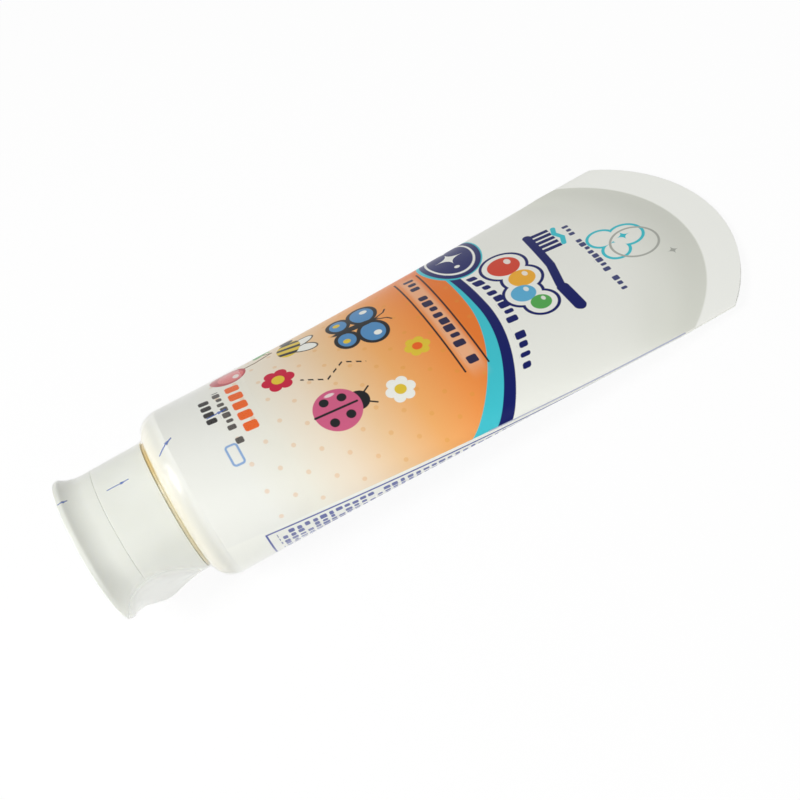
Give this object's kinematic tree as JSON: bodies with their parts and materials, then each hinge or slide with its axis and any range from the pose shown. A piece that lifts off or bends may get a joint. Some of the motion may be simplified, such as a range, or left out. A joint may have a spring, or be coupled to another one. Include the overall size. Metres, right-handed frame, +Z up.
{
  "type": "toothpaste tube",
  "caption": "Filled soft toothpaste tube lying on its back: round shoulder with a closed flared flip-top cap, arched flat seal at the tail, clear shrink film over cap and shoulder.",
  "frame": {"origin": "middle of the tube's bounding box, on the surface it lies on", "axes": "+Z up, +X along the tube from the cap to the tail, +Y across; the tube lies on its back with its printed front up"},
  "size_m": [0.131, 0.0518, 0.0337],
  "materials": {
    "sleeve_laminate": "glossy printed laminate, white with peach, teal and navy fields",
    "head_plastic": "natural moulded polyethylene, warm cream",
    "cap_plastic": "smooth white moulded plastic, satin gloss",
    "clear_film": "clear heat-shrunk film, very glossy, finely wrinkled"
  },
  "bodies": {
    "root": {"filled_sleeve": "sleeve_laminate", "tube_head": "head_plastic", "flip_cap": "cap_plastic", "shrink_film": "clear_film"}
  },
  "joints": []
}
